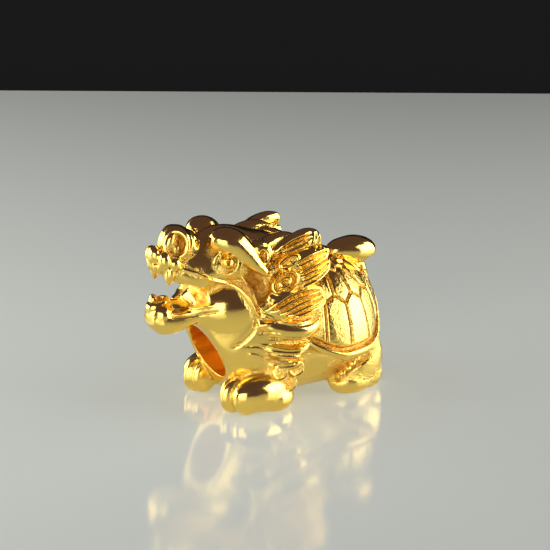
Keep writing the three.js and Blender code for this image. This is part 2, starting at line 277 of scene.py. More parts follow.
def loft(
    stations: Sequence[Sequence[float]],
    fullness: float,
    sides: int = 56,
    count: int = 40,
) -> Mesh:
    """A form along Y.

    Args:
        stations: Rows of [y, half width, lowest z, highest z].
        fullness: 2 gives oval sections, and more gives squarer ones.
        sides: How many faces go round it.
        count: How many rings it has.

    Returns:
        The new piece.
    """
    share = closing(count)
    y, half, low, high = between(stations, share).T
    turn = np.arange(sides) / sides * math.tau
    bend = lambda value: np.sign(value) * np.abs(value) ** (2 / fullness)
    x = half[:, None] * bend(np.cos(turn))
    z = (low + high)[:, None] / 2 + (high - low)[:, None] / 2 * bend(np.sin(turn))
    rings = np.stack([x, np.broadcast_to(y[:, None], x.shape), z], axis=2)
    pole = lambda row: (0, row[0], (row[2] + row[3]) / 2)
    return moulded(rings, pole(stations[0]), pole(stations[-1]))


def sweep(
    path: Sequence[Triple],
    girth: Sequence[Pair],
    out: Triple,
    section: np.ndarray | None = None,
    count: int = 36,
    caps: Pair = (0, 0),
) -> Mesh:
    """A section swept along a curve.

    Args:
        path: Points on the curve.
        girth: [half width, half thickness] at even steps along it.
        out: The way that its thickness points.
        section: Points round it, as shares of the half width and half thickness.
        count: How many rings it has.
        caps: The share of its length over which each end is rounded off.

    Returns:
        The new piece.
    """
    section = oval() if section is None else section
    share = closing(count)
    centre = between(path, share)
    ahead = between(path, np.minimum(share + 0.01, 1)) - between(path, np.maximum(share - 0.01, 0))
    ahead /= np.linalg.norm(ahead, axis=1, keepdims=True)
    side = np.cross(ahead, np.asarray(out, dtype=float))
    side /= np.linalg.norm(side, axis=1, keepdims=True)
    up = np.cross(side, ahead)
    wide, thick = between(girth, share).T
    for cap, place in zip(caps, (share, 1 - share)):
        if cap:
            round_off = np.sqrt(1 - (1 - np.minimum(place / cap, 1)) ** 2)
            wide, thick = wide * round_off, thick * round_off
    rings = (
        centre[:, None]
        + side[:, None] * (section[:, 0] * wide[:, None])[:, :, None]
        + up[:, None] * (section[:, 1] * thick[:, None])[:, :, None]
    )
    return moulded(rings, path[0], path[-1])


def axes(normal: Triple, along: Triple = (0, 1, 0)) -> np.ndarray:
    """The axes of a disc that faces along a normal.

    Args:
        normal: The way it faces.
        along: The way that its first axis points, as nearly as the normal lets it.

    Returns:
        A matrix whose rows are its two axes and its normal.
    """
    facing = Vector(normal).normalized()
    second = facing.cross(Vector(along)).normalized()
    return np.array([second.cross(facing), second, facing])


def boss(
    centre: Triple,
    normal: Triple,
    radii: Pair,
    profile: Sequence[Pair],
    along: Triple = (0, 1, 0),
    sides: int = 48,
    rings: int = 26,
) -> Mesh:
    """A raised round or oval boss with a carved face.

    Args:
        centre: The middle of its face.
        normal: The way it faces.
        radii: Its half sizes across.
        profile: [share of the radii, height] from the middle of the face outwards and down its side.
        along: The way that its first axis points.
        sides: How many faces go round it.
        rings: How many rings it has.

    Returns:
        The new piece.
    """
    share, height = between(profile, np.linspace(0, 1, rings)).T
    turn = np.arange(sides) / sides * math.tau
    flat = np.stack(
        [
            radii[0] * share[:, None] * np.cos(turn),
            radii[1] * share[:, None] * np.sin(turn),
            np.broadcast_to(height[:, None], (rings, sides)),
        ],
        axis=2,
    )
    frame = axes(normal, along)
    rings_at = flat @ frame + np.array(centre)
    pole = lambda z: np.array([0, 0, z]) @ frame + np.array(centre)
    return moulded(rings_at, pole(height[0]), pole(height[-1]))


def coil(
    centre: Triple,
    normal: Triple,
    radii: Pair,
    along: Triple,
    turns: Pair,
    shrink: float,
    thick: Pair,
    lift: float = 0,
) -> Mesh:
    """A round cord of metal curled up in a plane.

    Args:
        centre: The middle of the curl.
        normal: The way it faces.
        radii: Its half sizes across, at its outer end.
        along: The way that its first axis points.
        turns: The angle of its outer and of its inner end, in turns from the first axis.
        shrink: The share of the radii that is left at its inner end.
        thick: The cord's radius at its outer and at its inner end.
        lift: How far the inner end stands out.

    Returns:
        The new piece.
    """
    share = np.linspace(0, 1, 25)
    turn = (turns[0] + (turns[1] - turns[0]) * share) * math.tau
    scale = 1 + (shrink - 1) * share
    across, up = radii[0] * scale * np.cos(turn), radii[1] * scale * np.sin(turn)
    path = np.stack([across, up, lift * share], axis=1) @ axes(normal, along) + np.array(centre)
    girth = [(size, size) for size in (thick[0], thick[0], thick[1], thick[1])]
    return sweep(path, girth, normal, oval(12), count=72, caps=(0.06, 0.04))


def joined(pieces: Sequence[Mesh], name: str) -> Mesh:
    """Joins pieces into one object.

    Args:
        pieces: The objects to join.
        name: The new object's name.

    Returns:
        The joined object.
    """
    bpy.ops.object.select_all(action="DESELECT")
    for piece in pieces:
        piece.select_set(True)
    bpy.context.view_layer.objects.active = pieces[0]
    if len(pieces) > 1:
        bpy.ops.object.join()
    whole = bpy.context.object
    whole.name = name
    return whole


def with_mirror(pieces: list[Mesh], name: str) -> Mesh:
    """Joins pieces of the left side with a mirrored copy of each.

    Args:
        pieces: The left side's objects.
        name: The new object's name.

    Returns:
        The joined object of both sides.
    """
    left = joined(pieces, name)
    alone(left)
    bpy.ops.object.duplicate()
    right = bpy.context.object
    move_points(right, points(right) * (-1, 1, 1))
    face_outwards(right)
    return joined([left, right], name)


def finished(piece: Mesh, kind: str, **settings: object) -> Mesh:
    """Adds a modifier to a piece and applies it.

    Args:
        piece: The object to change.
        kind: The modifier's type.
        settings: Its settings.

    Returns:
        The same object.
    """
    alone(piece)
    step = piece.modifiers.new(kind.lower(), kind)
    for key, value in settings.items():
        setattr(step, key, value)
    bpy.ops.object.modifier_apply(modifier=step.name)
    return piece


def cast(piece: Mesh, voxel: float, rounds: int) -> Mesh:
    """Melts overlapping forms into one skin, and softens it.

    Args:
        piece: The joined forms.
        voxel: The size of the voxels.
        rounds: How many times it is softened.

    Returns:
        The same object.
    """
    finished(piece, "REMESH", mode="VOXEL", voxel_size=voxel, adaptivity=0, use_smooth_shade=True)
    return finished(piece, "SMOOTH", factor=0.5, iterations=rounds)


def cut(piece: Mesh, tool: Mesh) -> Mesh:
    """Cuts a tool's shape out of a piece, and throws the tool away.

    Args:
        piece: The object to change.
        tool: The shape to cut out of it.

    Returns:
        The same object.
    """
    finished(piece, "BOOLEAN", operation="DIFFERENCE", solver="EXACT", object=tool)
    bpy.data.objects.remove(tool)
    return piece


# The figure's forms


@dataclass
class Body:
    """The barrel trunk round its hole, cut off by the leaning plane of the chest."""

    stations: Sequence[Sequence[float]] = (
        (-31, 9, 16, 46),
        (-24, 13.2, 12, 52),
        (-17, 16.8, 6, 55),
        (-8, 20, 3.4, 56),
        (4, 21.6, 2.8, 54),
        (16, 22.2, 3, 50),
        (28, 21.6, 3.4, 47),
        (37, 19.4, 5.4, 44),
        (44, 15.5, 9, 41),
        (48, 12, 11, 38),
    )
    hole_radius: float = 10.71
    hole_height: float = 22.57
    hole_rim: float = 2.14
    collar: Pair = (-24.5, 47.5)
    chest: Triple = (0, -22.7, 22.6)
    chest_slope: float = -0.465
    drill_ends: Pair = (-60, 70)

    def trunk(self) -> Mesh:
        """Builds the trunk and the collar round its hole, cut off at the chest and rounded there.

        Returns:
            The trunk, without its hole.
        """
        body = loft(self.stations, fullness=2.4)
        collar = self.rod(self.hole_radius + self.hole_rim, *self.collar)
        whole = cast(joined([body, collar], "trunk"), TRUNK_VOXEL, rounds=4)
        alone(whole)
        bpy.ops.object.mode_set(mode="EDIT")
        bpy.ops.mesh.select_all(action="SELECT")
        bpy.ops.mesh.bisect(
            plane_co=self.chest,
            plane_no=(0, -1, self.chest_slope),
            use_fill=True,
            clear_outer=True,
        )
        bpy.ops.object.mode_set(mode="OBJECT")
        return cast(whole, TRUNK_VOXEL, rounds=14)

    def rod(self, radius: float, start: float, end: float) -> Mesh:
        """A cylinder along the hole's axis.

        Args:
            radius: Its radius.
            start: Its front end, along Y.
            end: Its rear end, along Y.

        Returns:
            The new piece.
        """
        piece = primitive(
            bpy.ops.mesh.primitive_cylinder_add,
            vertices=128,
            radius=radius,
            depth=end - start,
            location=(0, (start + end) / 2, self.hole_height),
            rotation=(math.pi / 2, 0, 0),
        )
        bpy.ops.object.transform_apply(location=True, rotation=True, scale=True)
        return piece

    def drill(self) -> Mesh:
        """The hole from chest to rump, as a tool to cut with."""
        return self.rod(self.hole_radius, *self.drill_ends)


@dataclass
class Head:
    """The skull, the jaws and all that lies on them."""

    skull: Sequence[Sequence[float]] = (
        (-45.4, 3.4, 57, 64),
        (-42.6, 5.4, 52, 65.5),
        (-38, 7.6, 47, 67),
        (-33, 9.8, 43, 67.4),
        (-27, 11.8, 44, 69),
        (-20, 13.2, 44.6, 71.5),
        (-12, 13.9, 42, 71),
        (-3, 16, 38, 68),
        (7, 16, 38, 65),
        (16, 11, 43, 59),
    )
    jaw: Sequence[Sequence[float]] = (
        (-47.6, 4, 37.5, 42),
        (-44, 6.6, 33.4, 44),
        (-39.4, 7.2, 33, 43.2),
        (-36, 8, 34, 43),
        (-31, 10, 36, 46),
        (-24, 13, 36, 50),
        (-16, 15.6, 36, 52),
        (-6, 17, 36, 50),
    )
    mouth: Sequence[Sequence[float]] = (
        (-56, 5, 45.5, 55.5),
        (-48.6, 5, 46, 57),
        (-44.6, 5.2, 43, 57.5),
        (-41, 5.4, 40.5, 57.5),
        (-37, 5.8, 39.5, 56),
        (-31, 6.6, 41, 51.5),
    )
    mouth_corners: Sequence[Sequence[float]] = (
        (-56, 12, 45, 54.5),
        (-44, 12, 44, 54.5),
        (-37, 13, 43.2, 53.6),
        (-32.4, 13.6, 43.8, 52.6),
        (-27.6, 14.4, 45.2, 49),
    )

    def masses(self) -> list[Mesh]:
        """Builds the skull, the lower jaw and the bridge of the nose."""
        bridge = ball((0, -31.4, 65.6), (6.4, 5, 6.8))
        return [loft(self.skull, fullness=1.65), loft(self.jaw, fullness=2.4), bridge]

    def cheek(self) -> Mesh:
        """Builds the left cheek."""
        return ball((4.6, -12.7, 40.4), (13.4, 18.5, 14.2), (-8, 0, 5))

    def gape(self) -> list[Mesh]:
        """The open mouth, as two tools to cut with."""
        return [loft(self.mouth, fullness=3), loft(self.mouth_corners, fullness=3)]

    def middle(self) -> list[Mesh]:
        """Builds what lies in the middle: the tongue, the snout's middle fold and tooth, and the jaw's tip.

        Returns:
            The pieces.
        """
        tongue = [(0, -41.6, 42), (0, -38.2, 43.6), (0, -33, 42.4), (0, -27, 39.6)]
        cup = [(0.02, 0.9), (0.3, 0.9), (0.5, 1.3), (0.72, 1.7), (0.9, 1.2), (1, 0), (0.96, -3), (0.7, -6)]
        return [
            sweep(tongue, [(1.6, 1.2), (3, 2), (3.6, 2), (3.6, 2)], (0, 0.2, 1)),
            ball((0, -45, 64.2), (3.2, 2.4, 3.6)),
            ball((0, -43.2, 41), (6.5, 4.8, 5.8)),
            boss((0, -43.6, 45), (0, -0.3, 1), (5, 3.6), cup),
            ball((-1.6, -44.6, 46), (1.9, 1.7, 2.6)),
            self.tooth((0, -45.4, 61.6), (0, -45.6, 58), 1.2),
        ]

    def tooth(self, root: Triple, tip: Triple, radius: float) -> Mesh:
        """Builds a pointed tooth.

        Args:
            root: The middle of its root.
            tip: Its tip.
            radius: Its radius at the root.

        Returns:
            The new piece.
        """
        girth = [(radius, radius), (radius * 0.85,) * 2, (0.3, 0.3)]
        return sweep([root, tip], girth, (1, 0, 0), oval(16), 16)

    def snout(self) -> list[Mesh]:
        """Builds the folds round the front of the lip, the teeth below them and the fang.

        Returns:
            The left side's pieces.
        """
        folds = [
            ball((4.9, -43, 62.8), (2.5, 2.6, 3.6), (0, 0, 20)),
            ball((6.8, -39.4, 61.4), (1.7, 2.4, 2.6), (0, 0, 10)),
        ]
        half_width, half_length, middle = 5.2, 3.2, -42.4
        teeth = []
        for i in range(3):
            turn = (i + 0.9) * math.pi / 7
            x, y = half_width * math.sin(turn), middle - half_length * math.cos(turn)
            teeth.append(self.tooth((x, y, 61.2), (x, y - 0.3, 58.2), 1.15))
        fang = sweep(
            [(5.4, -41, 59.8), (5.5, -41.3, 57.4), (5.4, -41.6, 55.4), (5.2, -41.8, 53)],
            [(2, 2.2), (2.1, 2.2), (1.6, 1.7), (0.4, 0.4)],
            (1, 0, 0),
            oval(20),
            20,
        )
        return [*folds, *teeth, fang]

    def nostril(self) -> list[Mesh]:
        """Builds a nostril: a dome with a hollow in its face, and a small ball low in the hollow.

        Returns:
            The left side's pieces.
        """
        normal = (0.84, -0.5, 0.2)
        face = [(0.02, 1.5), (0.3, 1.5), (0.44, 1.8), (0.52, 3.2), (0.6, 4.2), (0.74, 4.4)]
        face += [(0.86, 3.7), (0.96, 2), (1.03, 0), (0.98, -1.4), (0.6, -2.6), (0.2, -2.6)]
        return [
            boss((0.8, -35.8, 67.3), normal, (6.4, 7), face),
            ball((2.7, -37.2, 66), (1.9, 1.9, 2.1)),
        ]

    def eye(self) -> list[Mesh]:
        """Builds an eye: a ball with a pupil in a round socket, and two curved lids.

        Returns:
            The left side's pieces.
        """
        normal = (0.9, -0.4, 0.15)
        socket = [(0.02, -0.6), (0.4, -0.5), (0.7, 0), (0.86, 0.9), (0.94, 0.9), (1, 0), (1, -3)]
        pupil = [(0.05, 0), (0.2, 0.2), (0.34, 1.9), (0.6, 2.1), (0.86, 1.3), (1, 0), (1, -1)]
        return [
            boss((12.2, -20.9, 60.6), normal, (5, 5), socket),
            boss((12.4, -20.4, 60.6), normal, (2.3, 2.5), pupil),
            coil((12.5, -21, 60.6), normal, (3.5, 3.5), (0, 1, 0), (0.3, 0.66), 1, (0.6, 0.6)),
            coil((12.3, -20.8, 60.6), normal, (5.3, 5), (0, 1, 0), (-0.42, 0), 1, (0.75, 0.75)),
        ]

    def brow(self) -> list[Mesh]:
        """Builds a heavy smooth brow, and the curled knob behind it.

        Returns:
            The left side's pieces.
        """
        path = [(7.2, -25, 66.4), (8.6, -21.2, 68), (10.4, -16.8, 67)]
        path += [(12.8, -12.6, 62.8), (15, -9.4, 58.4), (17, -5.4, 54.6)]
        girth = [(2.6, 2.8), (5.2, 5), (5.6, 5), (4.4, 3.8), (2.9, 2.6), (1.6, 1.4)]
        normal = (0.94, -0.3, 0.2)
        up = (0, 0.1, 1)
        face = [(0.05, -0.6), (0.3, -0.4), (0.6, 0.3), (0.8, 0.5), (1, -0.8), (1, -4)]
        return [
            sweep(path, girth, (0.45, -0.1, 0.9), caps=(0.1, 0.1)),
            boss((13.7, -6.6, 61.2), normal, (5.8, 4.9), face, up),
            coil((14.2, -6.6, 61.6), normal, (4.2, 3.6), up, (-0.05, 1.25), 0.5, (1.1, 0.9), 0.5),
        ]

    def horn(self) -> Mesh:
        """Builds a smooth horn, laid back over the skull.

        Returns:
            The new piece.
        """
        path = [(11.6, -7.6, 62.4), (10.6, -3.4, 63.8), (10, 1.2, 65), (9.4, 6.6, 65), (8.6, 12.6, 63.4)]
        girth = [(size, size) for size in (2.2, 2.8, 2.9, 2.6, 1.6)]
        return sweep(path, girth, (0, 0, 1), caps=(0, 0.1))

    def ear(self) -> Mesh:
        """Builds a leaf-shaped ear with a blunt end.

        Returns:
            The new piece.
        """
        path = [(12.4, -2.8, 60.4), (14, 4.2, 63.4), (14.6, 11, 65), (14.2, 19, 65)]
        girth = [(1.4, 1.4), (2.9, 2.4), (4, 2.9), (4.2, 2.7)]
        return sweep(path, girth, (0.9, -0.35, 0.4), caps=(0, 0.3), count=48)

    def side(self) -> list[Mesh]:
        """Builds all that lies on the left side of the head."""
        return [*self.snout(), *self.nostril(), *self.eye(), *self.brow(), self.horn(), self.ear()]


@dataclass
class Lock:
    """One tapering lock of hair."""

    path: Sequence[Triple]
    wide: float
    thick: float
    out: Triple = (1, -0.1, 0.25)
    taper: Sequence[Pair] = ((0.4, 0.6), (0.9, 1), (1, 1), (0.85, 0.95), (0.5, 0.6))

    def build(self) -> Mesh:
        """Builds the lock."""
        girth = [(a * self.wide, b * self.thick) for a, b in self.taper]
        return sweep(self.path, girth, self.out, oval(32), caps=(0, 0.16))


@dataclass
class Mane:
    """The locks at the side of the neck, those of the beard and the nape, and the curls on them."""

    locks: Sequence[Lock] = (
        Lock(
            ((17.4, -10, 41), (19.4, -4, 42.8), (21, 4, 43.4), (21.2, 11, 44), (19.8, 17.8, 43.2)),
            6.4,
            3.4,
        ),
        Lock(((16, 1, 55.4), (18, 7, 57.6), (18.4, 13, 59), (16.6, 21.4, 60)), 4.2, 3),
        Lock(((18.3, 3, 50), (19.6, 8.6, 52.4), (19.6, 14, 54.4), (17.6, 21, 56)), 4.6, 3),
        Lock(
            ((14.6, -13, 37.8), (18.4, -6, 34.8), (21.2, 1, 32.8), (22, 8, 32.2), (21, 14.4, 34)),
            3.9,
            3.7,
        ),
        Lock(((15, -12, 28), (19, -4.5, 25.8), (21.4, 3, 24), (21.6, 9.6, 26)), 2.9, 2.8),
        Lock(((16.4, -10, 21.6), (19.4, -4, 19.6), (21.4, 2, 18.8), (21.2, 7, 19.6)), 1.8, 2),
        Lock(((4, 2, 63), (4.6, 9, 62.4), (4.4, 16, 58), (4, 22, 53.6)), 4.4, 3, (0, 0.3, 1)),
        Lock(((10.6, 6, 60.6), (11.4, 12, 59.6), (11, 18, 56.3), (10.2, 23, 52.6)), 4.4, 3, (0.5, 0.3, 0.8)),
    )
    curl_normal: Triple = (0.96, -0.25, 0.18)
    oval_place: Triple = (20.2, -0.4, 51.4)
    oval_along: Triple = (0.1, 0.88, 0.47)
    loop_place: Triple = (18.9, 2.2, 58.6)
    loop_along: Triple = (0, 0.93, 0.36)

    def base(self) -> Mesh:
        """Builds the mass that the locks lie on."""
        return ball((11.6, 4, 48), (8.6, 12.6, 13))

    def curls(self) -> list[Mesh]:
        """Builds the oval curl, the loop above it and the small curl at the beard's end.

        Returns:
            The left side's pieces.
        """
        ringed = [(0.02, -0.4), (0.12, -0.4), (0.3, 0.9), (0.44, 0.9), (0.6, -0.6)]
        ringed += [(0.68, -0.6), (0.82, 1.2), (0.92, 1), (1, -1), (1, -4)]
        looped = [(0.02, -0.8), (0.4, -0.8), (0.64, 0.8), (0.86, 0.8), (1, -0.8), (1, -4)]
        facing = self.curl_normal
        return [
            boss(self.oval_place, facing, (6.3, 4.4), ringed, self.oval_along, rings=60),
            boss(self.loop_place, facing, (5.2, 2.3), looped, self.loop_along, rings=40),
            ball((21.4, 10.4, 27), (1.5, 1.8, 2.2), (-30, 0, 0)),
        ]

    def side(self) -> list[Mesh]:
        """Builds all of the left side's hair."""
        return [*(lock.build() for lock in self.locks), *self.curls()]


@dataclass
class Legs:
    """The front and hind legs."""

    def masses(self) -> list[Mesh]:
        """Builds the left side's smooth paws, heels, shoulder and haunch.

        Returns:
            The pieces of the front leg, and then those of the hind leg.
        """
        return [
            ball((17.6, -9.4, 8.6), (6.5, 12.8, 7.6), (-2, 0, 4)),
            ball((17.4, -3.4, 5.6), (6.4, 8.2, 6)),
            ball((17, -1.6, 14), (4.6, 8, 9)),
            ball((16, 32.4, 5.8), (6.8, 9.6, 6.2)),
            ball((14.6, 40.4, 7), (6.8, 6.6, 7)),
            ball((15.8, 35.4, 14.4), (7.6, 11, 13.6)),
        ]

    def side(self) -> list[Mesh]:
        """Builds the left side's toes, cuff, scales and the row of beads on the haunch.

        Returns:
            The pieces.
        """
        toes = [
            ball((10.6, -17.4, 8.2), (2.4, 5.6, 6.6), (-10, 0, 0)),
            ball((13.9, -19, 8), (2.5, 5.8, 6.6), (-10, 0, 0)),
            ball((18.4, -15.6, 7.8), (4.4, 6.4, 6.6), (-10, 0, 0)),
        ]
        disc = [(0.02, 0.1), (0.6, 0.1), (0.8, 0.2), (0.92, 0.5), (1, -0.2), (1, -2)]
        scales = [
            boss(place, (0.97, -0.12, 0.2), (3.3, 3.3), disc, sides=32, rings=14)
            for place in ((21.9, -3.4, 17), (22.2, 3.6, 17.4), (21.6, 0.8, 11.6))
        ]
        edge = [(20.2, 24.4, 9.4), (21.8, 28, 13.2), (22, 32.6, 16.8), (20.6, 37, 18.6)]
        sunk = 0.2
        beads = [
            ball((x - sunk, y, z), (1.8, 1.4, 1.5), segments=16, rings=10)
            for x, y, z in between(edge, np.linspace(0, 1, 8))
        ]
        return [*toes, self.cuff(), *scales, *beads]

    def cuff(self) -> Mesh:
        """Builds the wavy edge over the front toes.

        Returns:
            The new piece.
        """
        path = [(9.6, -18.6, 14.6), (11.4, -17, 17), (14, -14.2, 16)]
        path += [(16.6, -11.4, 16.8), (19.4, -8, 14.4), (21.4, -4.6, 13.2)]
        return sweep(path, [(0.7, 0.7)] * 4, (0.5, -0.2, 1), oval(12), 60, (0.1, 0.1))


@dataclass
class Shell:
    """The domed shell: plates parted by grooves, and a rounded band round its edge."""

    middle: float = 24
    half_width: float = 25
    half_length: float = 25
    top: float = 52
    flank_rim: float = 20
    rump_rim: float = 37.5
    front_rim: float = 36
    rump_rise: float = 7
    front_rise: float = 1.5
    fullness: float = 0.87
    band: float = 2.1
    lift: float = 1
    sides: int = 128
    rings: int = 40
    under_share: float = 0.8
    under_rise: float = 2
    under_top: float = 34
    ring_steps: int = 120
    line_points: int = 10
    plates: int = 15
    plates_to_top_line: int = 3
    rows: Sequence[float] = (22, 28, 47, 54, 86)

    def at(self, down: np.ndarray | float, turn: np.ndarray | float, lift: float = 0) -> np.ndarray:
        """A point of the shell.

        Args:
            down: Its angle down from the top.
            turn: Its angle round the shell.
            lift: How far it stands out of the shell.

        Returns:
            Its coordinates, in the last axis.
        """
        back = np.sin(turn)
        base = (
            self.flank_rim
            + (self.rump_rim - self.flank_rim) * np.maximum(back, 0) ** self.rump_rise
            + (self.front_rim - self.flank_rim) * np.maximum(-back, 0) ** self.front_rise
        )
        share = np.abs(np.sin(down)) ** self.fullness
        x = (self.half_width + lift) * share * np.cos(turn)
        y = self.middle + (self.half_length + lift) * share * np.sin(turn)
        z = base + (self.top + lift - base) * np.cos(down)
        return np.stack(np.broadcast_arrays(x, y, z), axis=-1)

    def dome(self) -> Mesh:
        """Builds the dome, closed by a narrower ring under its edge.

        Returns:
            The new piece.
        """
        turn = np.arange(self.sides) / self.sides * math.tau
        down = np.linspace(0, math.pi / 2, self.rings + 1)[1:]
        rings = self.at(down[:, None], turn[None, :], self.lift)
        under = rings[-1] * (self.under_share, 1, 1) + (0, 0, self.under_rise)
        under[:, 1] = self.middle + (under[:, 1] - self.middle) * self.under_share
        crown = self.at(0.0, 0.0, self.lift)
        return moulded(np.concatenate([rings, under[None]]), crown, (0, self.middle, self.under_top))

    def rim(self) -> Mesh:
        """Builds the rounded band round the edge: a ring of metal, pulled on to the edge.

        Returns:
            The new piece.
        """
        radius = 4
        piece = primitive(
            bpy.ops.mesh.primitive_torus_add,
            major_segments=160,
            minor_segments=16,
            major_radius=radius,
            minor_radius=1,
        )
        old = points(piece)
        turn = np.arctan2(old[:, 1], old[:, 0])
        out, up = np.hypot(old[:, 0], old[:, 1]) - radius, old[:, 2]
        centre = self.at(math.pi / 2, turn)
        away = centre - (0, self.middle, 0)
        away[:, 2] = 0
        away /= np.linalg.norm(away, axis=1, keepdims=True)
        new = centre + away * (out * self.band)[:, None]
        new[:, 2] += up * self.band
        return move_points(piece, new)

    def grooves(self) -> list[np.ndarray]:
        """The lines between the plates, and the one all round below them.

        Returns:
            The lines, each as points on the dome.
        """
        crown, upper, dip, peak, lower = (math.radians(row) for row in self.rows)
        half = math.pi / self.plates
        corners: list[list[Pair]] = []
        for k in range(self.plates):
            a = math.pi / 2 + 2 * k * half
            b = a + half
            corners.append([(lower, b), (peak, b)])
            corners.append([(peak, b), (dip, a)])
            corners.append([(peak, b), (dip, b + half)])
            corners.append([(dip, a), (upper, a)])
            corners.append([(upper, a), (crown, b)])
            corners.append([(crown, b), (upper, b + half)])
            if k % self.plates_to_top_line == 0:
                corners.append([(crown, b), (0, b)])
        corners.append([(lower, math.tau * i / self.ring_steps) for i in range(self.ring_steps + 1)])
        lines = []
        for line in corners:
            share = np.linspace(0, 1, max(self.line_points, len(line)))
            given = np.linspace(0, 1, len(line))
            down, turn = (np.interp(share, given, values) for values in np.array(line).T)
            lines.append(self.at(down, turn, self.lift))
        return lines


@dataclass
class Tail:
    """The drop-shaped tail that lies forward on the shell."""

    def stalk(self) -> Mesh:
        """Builds the stalk it springs from."""
        return ball((0, 45.4, 44), (4.4, 4.2, 7), (20, 0, 0))

    def drop(self) -> Mesh:
        """Builds the drop.

        Returns:
            The new piece.
        """
        path = [(0, 50.6, 48.6), (0, 49, 51), (0, 43.6, 52.4), (0, 37, 53.2), (0, 31, 53.2)]
        girth = [(3.4, 3.4), (5.2, 5), (6, 5.6), (4.8, 4.4), (3, 2.8)]
        return sweep(path, girth, (0, 0, 1), caps=(0.14, 0.24))

    def curl(self) -> Mesh:
        """Builds the left one of the two small curls at its foot."""
        return ball((4, 44.6, 43.4), (2.4, 2.6, 2.4))


# Carving and casting


@dataclass
class Stroke:
    """A line carved in the left side, seen from that side, and the same on the right.

    Its points are [y, z], and it is sunk where its height is negative.
    """

    path: Sequence[Pair]
    width: float
    height: float


@dataclass
class Fan:
    """Ribs that run from one line of the left side to another, with grooves between them."""

    first: Sequence[Pair]
    last: Sequence[Pair]
    ribs: int
    width: float = 0.6
    height: float = 0.6
    depth: float = 1.15

    def strokes(self) -> list[Stroke]:
        """Lists the ribs and the grooves.

        Returns:
            A line for each, from the first to the last.
        """
        first, last = np.array(self.first), np.array(self.last)
        steps = 2 * (self.ribs - 1)
        found = []
        for i in range(steps + 1):
            path = first + (last - first) * (i / steps)
            height = -self.depth if i % 2 else self.height
            found.append(Stroke([tuple(spot) for spot in path], self.width, height))
        return found


@dataclass
class Cut:
    """A line on the surface, with how it is carved there."""

    path: np.ndarray
    width: float
    height: float
    fade: bool = True

    def depth_at(self, folded: np.ndarray) -> tuple[np.ndarray, np.ndarray]:
        """How far points of the surface move outwards.

        Args:
            folded: Points of the surface, with the right side's folded on to the left.

        Returns:
            The indices of the points near the line, and a distance for each.
        """
        path = self.path
        reach = CUT_REACH * self.width
        near = np.all((folded > path.min(0) - reach) & (folded < path.max(0) + reach), axis=1)
        index = np.flatnonzero(near)
        spot = folded[index]
        best = np.full(len(index), np.inf)
        place = np.zeros(len(index))
        for i, (a, b) in enumerate(zip(path[:-1], path[1:])):
            along = b - a
            share = np.clip((spot - a) @ along / max(along @ along, 1e-9), 0, 1)
            away = np.linalg.norm(spot - a - share[:, None] * along, axis=1)
            closer = away < best
            best[closer] = away[closer]
            place[closer] = (i + share[closer]) / (len(path) - 1)
        depth = self.height * np.exp(-((best / self.width) ** 2))
        if self.fade:
            depth *= np.minimum(1, END_RISE * np.minimum(place, 1 - place) + END_SHARE)
        return index, depth


